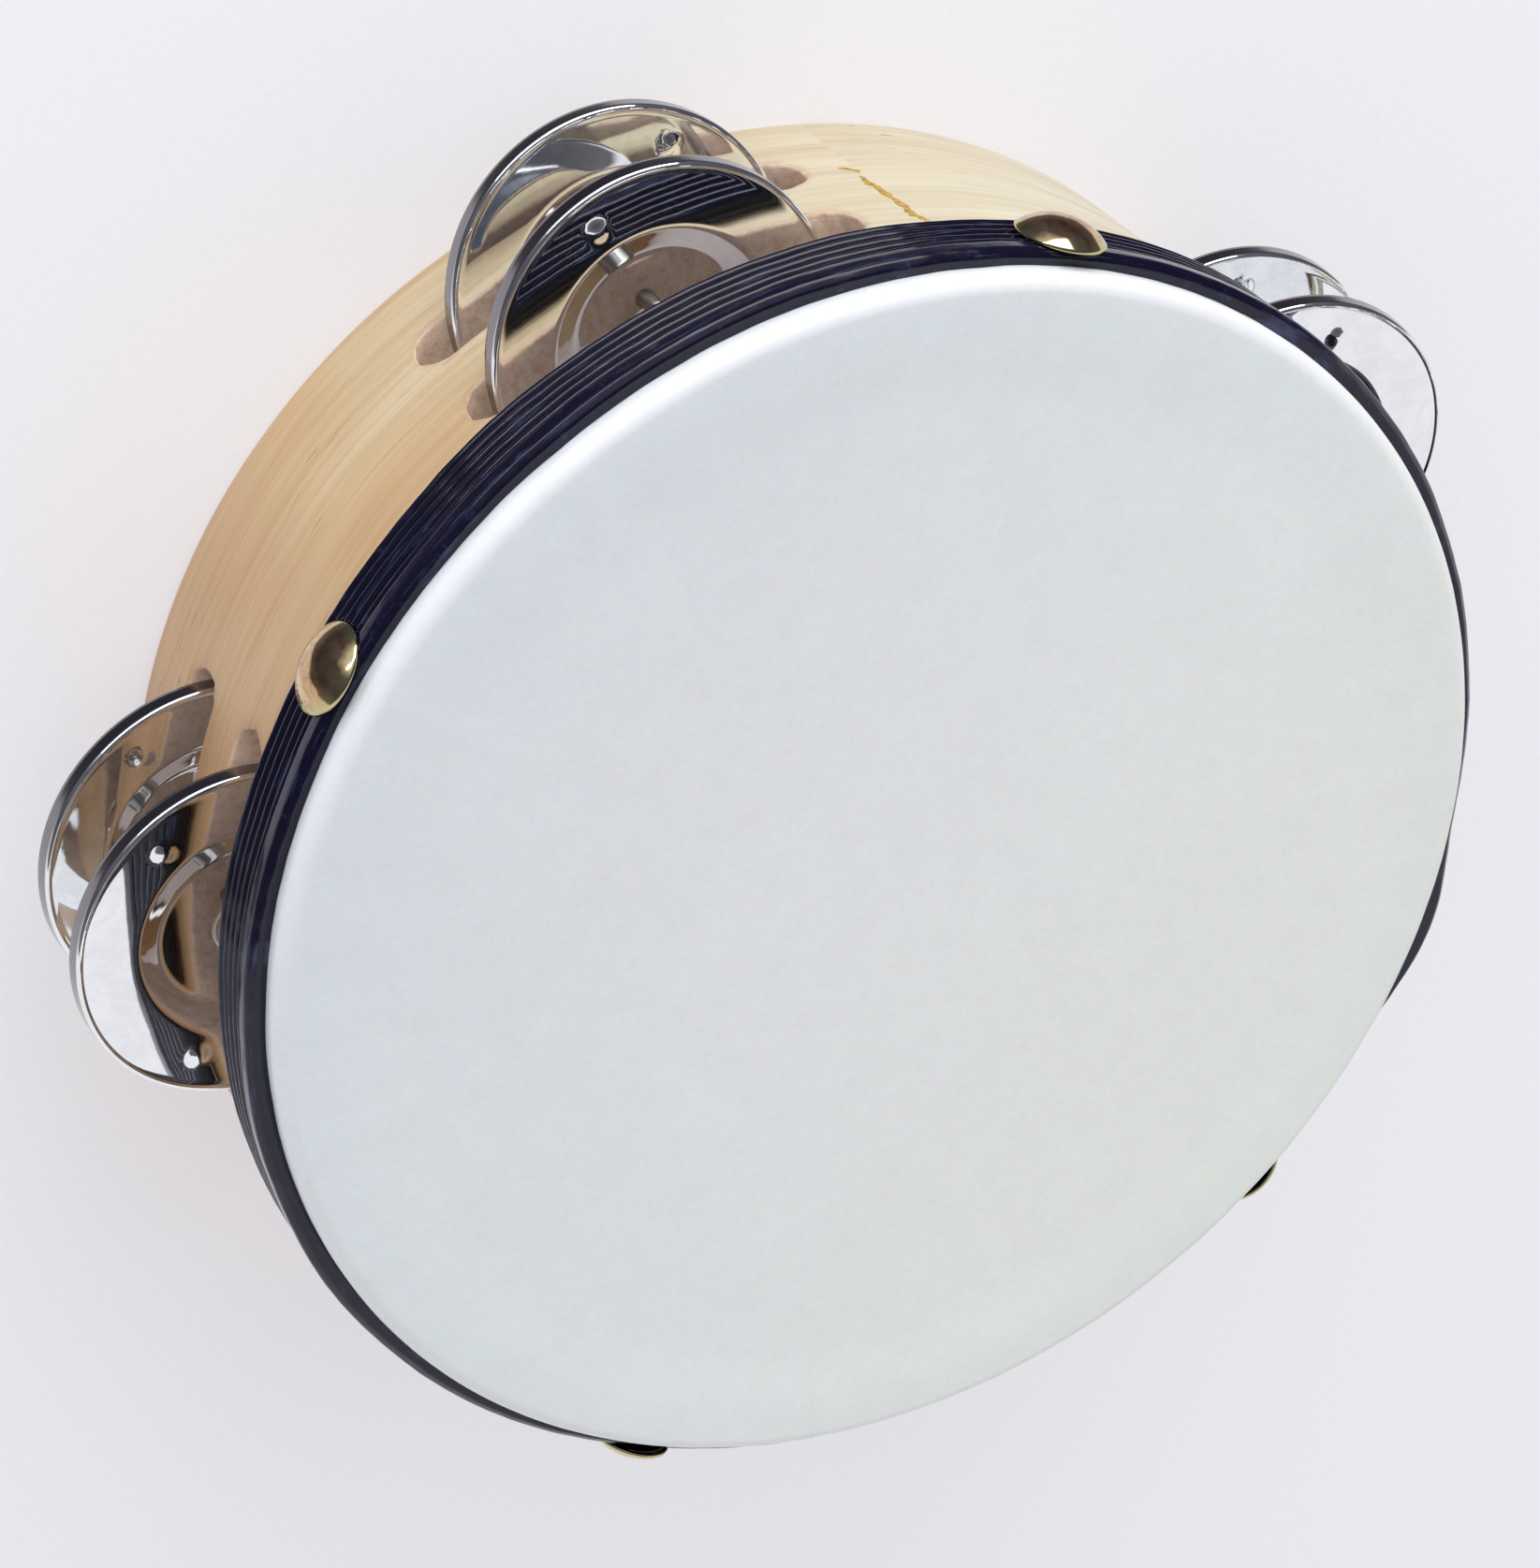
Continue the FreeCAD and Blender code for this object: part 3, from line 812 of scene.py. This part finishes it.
# --- materials ---------------------------------------------------------------------------------


def wood_material():
    """Pale satin maple: long fine grain round the hoop, short dark pores, browner slot walls, and painted
    shade that darkens and browns the -Y side.
    """
    n = Nodes("maple_wood")
    x, y, z = n.split(n.turn(n.place(), 180 - math.degrees(SEAM_ANGLE)))
    along = n.along(x, y)
    radius = n.reach(x, y)
    wavy = n.noise(n.join(along, 0.0, 0.0), 22, 2)
    level = n.plus(z, n.times(wavy, 0.004))

    def grain(squeeze, *settings):
        """Noise drawn out round the hoop."""
        return n.noise(n.join(n.times(along, squeeze), level, radius), *settings)

    fibre = grain(0.022, 2600, 4, 0.62)
    rings = grain(0.05, 240, 3, 0.55, 0.6)
    streak = grain(0.03, 760, 3, 0.6)
    pores = grain(0.085, 2300, 2, 0.5)
    patch = n.noise(n.place(), 26, 2)

    colour = n.ramp(
        rings,
        (0.30, srgb(226, 206, 172)),
        (0.52, srgb(238, 221, 190)),
        (0.72, srgb(244, 232, 206)),
    )
    colour = n.mix(0.30, colour, n.ramp(streak, (0.32, srgb(206, 168, 126)), (0.60, srgb(242, 228, 200))))
    colour = n.mix(0.40, colour, n.ramp(fibre, (0.28, 0.76), (0.62, 1.0)), "MULTIPLY")
    blush = n.ramp(patch, (0.35, srgb(236, 204, 170)), (0.65, srgb(255, 250, 238)))
    colour = n.mix(0.30, colour, blush, "MULTIPLY")

    # Painted shade: browner and darker towards the row frame's -Y side, paler and cooler towards +Y where
    # more light falls, with a little random blotch mixed in.
    _, across, _ = n.split(n.place())
    side_shade_and_blotch = n.plus(0.5, n.times(across, 0.5 / (HOOP_RADIUS * MM)))
    side_shade_and_blotch = n.plus(side_shade_and_blotch, n.times(n.math("SUBTRACT", patch, 0.5), 0.35))
    painted_shade_tone = n.ramp(
        side_shade_and_blotch,
        (0.22, (0.59, 0.41, 0.285, 1.0)),
        (0.58, (0.76, 0.65, 0.52, 1.0)),
        (0.88, (0.86, 0.94, 0.98, 1.0)),
    )
    colour = n.mix(1.0, colour, painted_shade_tone, "MULTIPLY")

    dark = n.ramp(pores, (0.665, 0.0), (0.71, 1.0))
    where = n.ramp(n.noise(n.place(), 55, 2), (0.48, 0.0), (0.62, 1.0))
    dark = n.times(dark, n.times(where, 0.75))
    colour = n.mix(dark, colour, srgb(132, 84, 48))

    gap = n.attribute("slot_gap")
    wall = n.ramp(gap, (0.02, 1.0), (0.30, 0.0))
    chewed = n.noise(n.place(), 900, 3, 0.7)
    raw = n.ramp(
        chewed,
        (0.35, srgb(232, 200, 178)),
        (0.50, srgb(250, 234, 218)),
        (0.68, srgb(252, 240, 228)),
    )
    colour = n.mix(n.times(wall, 0.9), colour, raw)
    # Browner at and just beside the slot walls.
    slot_edge_brown = n.ramp(n.plus(n.times(gap, 0.22), n.times(chewed, 0.5)), (0.30, 0.40), (0.50, 0.0))
    colour = n.mix(slot_edge_brown, colour, srgb(198, 150, 116))

    rough = n.ramp(fibre, (0.30, 0.50), (0.70, 0.34))
    rough = n.mix(wall, rough, (0.8, 0.8, 0.8, 1.0))
    height = n.plus(n.times(fibre, 0.6), n.times(dark, -0.8))
    height = n.plus(height, n.times(n.times(wall, chewed), 4.0))
    return n.set(
        Base_Color=colour,
        Roughness=rough,
        Normal=n.bump(height, 0.00006, 0.8),
        Subsurface_Weight=0.06,
        Subsurface_Scale=0.002,
        Coat_Weight=0.12,
        Coat_Roughness=0.3,
    )


def skin_material():
    """A coated off-white head: faint clouds, a fine papery grain, a few soft smudges, and painted light that
    makes the +X side warmer and brighter than the cooler -X side.
    """
    n = Nodes("drum_skin")
    place = n.place()
    cloud = n.noise(place, 38, 5, 0.62, 0.4)
    mottle = n.noise(place, 260, 4, 0.6)
    speck = n.noise(place, 1500, 3, 0.55)
    # Painted light: cooler on the -X side, warmer and brighter towards +X, as light falls across the sheet.
    x, _, _ = n.split(place)
    side = n.plus(0.5, n.times(x, 0.5 / (HOOP_RADIUS * MM)))
    colour = n.ramp(
        side,
        (0.10, srgb(240, 241, 246)),
        (0.60, srgb(247, 247, 247)),
        (1.0, srgb(251, 250, 244)),
    )
    colour = n.mix(0.6, colour, n.ramp(cloud, (0.30, 0.965), (0.66, 1.0)), "MULTIPLY")
    colour = n.mix(0.5, colour, n.ramp(mottle, (0.30, 0.95), (0.65, 1.0)), "MULTIPLY")
    colour = n.mix(0.35, colour, n.ramp(speck, (0.25, 0.90), (0.60, 1.0)), "MULTIPLY")
    smudge = n.ramp(n.noise(place, 48, 6, 0.75, 0.8), (0.66, 0.0), (0.80, 0.30))
    colour = n.mix(smudge, colour, srgb(184, 182, 172))
    height = n.plus(n.times(speck, 0.5), mottle)
    return n.set(
        Base_Color=colour,
        Roughness=n.ramp(mottle, (0.3, 0.60), (0.7, 0.46)),
        Normal=n.bump(height, 0.00010, 0.35),
        Subsurface_Weight=0.25,
        Subsurface_Scale=0.0015,
        Specular_IOR_Level=0.35,
    )


def band_material():
    """Glossy blue-black strap with fine lengthwise drawing marks, dull scuffs, painted highlight streaks and
    painted shade in the grooves between the ribs.
    """
    n = Nodes("band_gloss")
    x, y, z = n.split(n.place())
    along = n.along(x, y)
    drawn = n.noise(n.join(n.times(along, 0.22), z, 0.0), 2600, 3, 0.6)
    scuff = n.noise(n.place(), 520, 5, 0.72)
    rubbed = n.ramp(scuff, (0.60, 0.0), (0.74, 0.55))
    colour = n.mix(rubbed, srgb(14, 12, 36), srgb(56, 54, 96))
    # Painted highlight: broken pale blue streaks drawn out along the strap.
    glint = n.noise(n.join(n.times(along, 0.045), z, 0.0), 2400, 3, 0.65)
    colour = n.mix(n.ramp(glint, (0.58, 0.0), (0.68, 0.32)), colour, srgb(92, 98, 146))
    # Painted shade: the grooves between the ribs are darkened to near black, and made rougher.
    groove = n.ramp(n.attribute("groove"), (0.35, 0.0), (0.85, 1.0))
    colour = n.mix(groove, colour, srgb(4, 4, 8))
    rough = n.plus(0.09, n.times(scuff, 0.13))
    rough = n.plus(rough, n.times(groove, 0.5))
    height = n.plus(n.times(drawn, 0.5), scuff)
    return n.set(
        Base_Color=colour,
        Roughness=rough,
        Normal=n.bump(height, 0.00002, 0.5),
        Specular_IOR_Level=0.42,
    )


def jingle_material():
    """Bright plate over pressed steel: turning marks, small scratches, faint tarnish and painted shade on the
    flange's wall.
    """
    n = Nodes("jingle_plate")
    spot = n.attribute("local", "Vector")
    x, y, z = n.split(spot)
    radius = n.reach(x, y)
    turned = n.noise(n.join(radius, 0.0, n.times(z, 0.5)), 7.0, 3, 0.6)
    scratch = n.noise(n.join(n.times(x, 0.08), y, z), 9.0, 3, 0.65)
    stain = n.noise(spot, 0.35, 5, 0.66, 0.5)
    speck = n.ramp(n.noise(spot, 1.9, 3, 0.6), (0.71, 0.0), (0.76, 1.0))
    colour = n.ramp(stain, (0.35, srgb(238, 240, 241)), (0.60, srgb(248, 250, 251)))
    colour = n.mix(n.times(speck, 0.5), colour, srgb(120, 112, 108))
    # Painted shade: only the flange's wall is darker and duller, outermost in radius and below the folded
    # edge.
    outermost = n.ramp(n.math("SUBTRACT", radius, 19.0), (0.62, 0.0), (0.80, 1.0))
    below = n.ramp(n.math("DIVIDE", z, FLANGE_DEPTH), (0.79, 1.0), (0.91, 0.0))
    flange = n.times(outermost, below)
    colour = n.mix(n.times(flange, 0.85), colour, srgb(104, 97, 100))
    rough = n.plus(0.03, n.times(n.ramp(stain, (0.50, 0.0), (0.80, 1.0)), 0.02))
    rough = n.plus(rough, n.times(flange, 0.12))
    rough = n.plus(rough, n.times(n.ramp(scratch, (0.64, 0.0), (0.78, 1.0)), 0.05))
    rough = n.plus(rough, n.times(speck, 0.25))
    height = n.plus(n.times(turned, 0.20), n.times(scratch, 0.10))
    height = n.plus(height, n.times(speck, -0.4))
    return n.set(Base_Color=colour, Metallic=1.0, Roughness=rough, Normal=n.bump(height, 0.000008, 0.3))


def tack_material():
    """Polished bronze-brown brass, worn bright in places, with a greener rim."""
    n = Nodes("tack_brass")
    spot = n.attribute("local", "Vector")
    x, y, _ = n.split(spot)
    radius = n.reach(x, y)
    wear = n.noise(spot, 0.45, 4, 0.6, 0.6)
    fine = n.noise(spot, 6.0, 3, 0.6)
    colour = n.ramp(
        wear,
        (0.32, srgb(172, 134, 106)),
        (0.52, srgb(206, 174, 132)),
        (0.72, srgb(230, 210, 168)),
    )
    rim = n.ramp(n.math("DIVIDE", radius, TACK_RADIUS), (0.80, 0.0), (0.95, 0.7))
    colour = n.mix(rim, colour, srgb(206, 204, 150))
    rough = n.plus(0.05, n.times(fine, 0.10))
    return n.set(Base_Color=colour, Metallic=1.0, Roughness=rough, Normal=n.bump(wear, 0.0001, 0.12))


def pin_material():
    """Dull drawn steel wire with lengthwise marks."""
    n = Nodes("pin_steel")
    x, y, z = n.split(n.place())
    drawn = n.noise(n.join(x, y, n.times(z, 0.05)), 5200, 3, 0.6)
    colour = n.ramp(drawn, (0.30, srgb(138, 136, 132)), (0.70, srgb(196, 194, 190)))
    rough = n.plus(0.22, n.times(drawn, 0.25))
    return n.set(Base_Color=colour, Metallic=1.0, Roughness=rough, Normal=n.bump(drawn, 0.00002, 0.5))


def glue_material():
    """Amber glue squeezed from the lap joint and gone brittle."""
    n = Nodes("seam_glue")
    crack = n.noise(n.place(), 1600, 4, 0.7)
    colour = n.ramp(
        crack,
        (0.30, srgb(150, 96, 24)),
        (0.52, srgb(206, 152, 50)),
        (0.75, srgb(238, 204, 118)),
    )
    return n.set(
        Base_Color=colour,
        Roughness=0.3,
        Normal=n.bump(crack, 0.0002, 0.8),
        Subsurface_Weight=0.3,
        Subsurface_Scale=0.002,
    )


# --- stage, light and camera -------------------------------------------------------------------

FLOOR_REACH = 6000.0
# What polished pieces mirror, from low to high: a pale table, a dim room, a bright ceiling.
SURROUND = (
    (0.46, (0.86, 0.86, 0.90, 1)),
    (0.49, (0.16, 0.15, 0.16, 1)),
    (0.66, (0.07, 0.07, 0.09, 1)),
    (0.88, (0.12, 0.12, 0.16, 1)),
    (0.96, (0.80, 0.80, 0.88, 1)),
)
SURROUND_LEVEL = 0.44
SURROUND_CLUTTER = 0.12
SOFT_LIGHT = (0.65, 0.655, 0.67, 1)


def make_floor():
    """A plain pale table top far wider than the object."""
    n = Nodes("table_top")
    grain = n.noise(n.place(), 900, 4, 0.6)
    colour = n.ramp(grain, (0.2, srgb(196, 195, 199)), (0.8, srgb(202, 201, 204)))
    n.set(
        Base_Color=colour,
        Roughness=0.75,
        Normal=n.bump(grain, 0.00005, 0.3),
        Specular_IOR_Level=0.1,
        Emission_Color=srgb(236, 235, 240),
        Emission_Strength=0.48,
    )
    corners = [(FLOOR_REACH * x, FLOOR_REACH * y, 0) for x, y in ((-1, -1), (1, -1), (1, 1), (-1, 1))]
    mesh = bpy.data.meshes.new("table")
    mesh.from_pydata([Vector(c) * MM for c in corners], [], [(0, 1, 2, 3)])
    mesh.materials.append(n.material)
    table = bpy.data.objects.new("table", mesh)
    bpy.context.scene.collection.objects.link(table)
    table.visible_glossy = False


def camera_axes():
    """The camera's right, up and forward directions, and its rotation."""
    turn, rise = math.radians(CAMERA_AZIMUTH), math.radians(CAMERA_ELEVATION)
    back = Vector((math.sin(turn) * math.cos(rise), -math.cos(turn) * math.cos(rise), math.sin(rise)))
    level = (-back).to_track_quat("-Z", "Y") @ Quaternion((0, 0, 1), math.radians(CAMERA_ROLL))
    return level @ Vector((1, 0, 0)), level @ Vector((0, 1, 0)), -back, level


def make_camera():
    """The photo's viewpoint."""
    data = bpy.data.cameras.new("camera")
    data.lens = CAMERA_LENS
    data.sensor_width = 36.0
    data.clip_start, data.clip_end = 0.01, 50.0
    camera = bpy.data.objects.new("camera", data)
    bpy.context.scene.collection.objects.link(camera)
    _, _, forward, level = camera_axes()
    camera.rotation_mode = "QUATERNION"
    camera.rotation_quaternion = level
    camera.location = CAMERA_AIM - forward * CAMERA_DISTANCE
    bpy.context.scene.camera = camera


def area_light(name, direction, distance, width, height, power, colour):
    """A rectangular light that faces the object from a direction and distance."""
    data = bpy.data.lights.new(name, "AREA")
    data.shape = "RECTANGLE"
    data.size, data.size_y = width, height
    data.energy = power
    data.color = colour
    light = bpy.data.objects.new(name, data)
    bpy.context.scene.collection.objects.link(light)
    direction = direction.normalized()
    light.location = CAMERA_AIM + direction * distance
    light.rotation_mode = "QUATERNION"
    light.rotation_quaternion = (-direction).to_track_quat("-Z", "Y")


def make_lights():
    """A broad soft key from above and behind the camera, and a thin strip for the metal."""
    right, up, forward, _ = camera_axes()
    key = up * 0.75 - forward * 0.65 + right * 0.25
    strip = up * 0.55 - forward * 0.9 - right * 0.25
    area_light("key", key, 1.3, 0.9, 0.7, 8, (1.0, 0.99, 0.97))
    area_light("strip", strip, 0.9, 0.5, 0.06, 1.2, (0.95, 0.97, 1.0))


def make_world():
    """Even soft light for every ray but the glossy ones, which meet the surround instead."""
    _, up, forward, _ = camera_axes()
    world = bpy.data.worlds.new("surround")
    bpy.context.scene.world = world
    world.use_nodes = True
    world.cycles.sampling_method = "NONE"
    tree = world.node_tree
    link = tree.links.new

    def scaled(source, factor):
        """source times factor, plus whatever the node's third input is given."""
        node = tree.nodes.new("ShaderNodeMath")
        node.operation = "MULTIPLY_ADD"
        node.inputs[1].default_value = factor
        link(source, node.inputs[0])
        return node

    place = tree.nodes.new("ShaderNodeTexCoord")
    towards = tree.nodes.new("ShaderNodeVectorMath")
    towards.operation = "DOT_PRODUCT"
    towards.inputs[1].default_value = (up * 0.64 - forward * 0.77).normalized()
    link(place.outputs["Generated"], towards.inputs[0])
    height = scaled(towards.outputs["Value"], 0.5)
    height.inputs[2].default_value = SURROUND_LEVEL

    clutter = tree.nodes.new("ShaderNodeTexNoise")
    clutter.inputs["Scale"].default_value = 2.2
    clutter.inputs["Detail"].default_value = 3.0
    link(place.outputs["Generated"], clutter.inputs["Vector"])
    uneven = scaled(clutter.outputs["Fac"], SURROUND_CLUTTER)
    link(height.outputs[0], uneven.inputs[2])

    ramp = tree.nodes.new("ShaderNodeValToRGB")
    link(uneven.outputs[0], ramp.inputs[0])
    while len(ramp.color_ramp.elements) < len(SURROUND):
        ramp.color_ramp.elements.new(0.5)
    for element, (position, colour) in zip(ramp.color_ramp.elements, SURROUND):
        element.position = position
        element.color = colour

    ray = tree.nodes.new("ShaderNodeLightPath")
    choose = tree.nodes.new("ShaderNodeMix")
    choose.data_type = "RGBA"
    choose.inputs[6].default_value = SOFT_LIGHT
    link(ray.outputs["Is Glossy Ray"], choose.inputs["Factor"])
    link(ramp.outputs["Color"], choose.inputs[7])
    background = tree.nodes["Background"]
    background.inputs["Strength"].default_value = 1.0
    link(choose.outputs[2], background.inputs["Color"])


# --- the scene ---------------------------------------------------------------------------------

make_hoop(wood_material())
make_seam(glue_material())
make_skin(skin_material())
make_band(band_material())
brass, steel, plate = tack_material(), pin_material(), jingle_material()
for number in range(1, len(TACK_NODES) + 1):
    make_tack(number, brass)
for number in range(1, STATIONS + 1):
    make_pin(number, steel)
    make_jingle("front", number, plate)
    make_jingle("rear", number, plate)
make_floor()
make_lights()
make_world()
make_camera()
bpy.context.scene.view_settings.view_transform = "Standard"

bpy.context.view_layer.update()
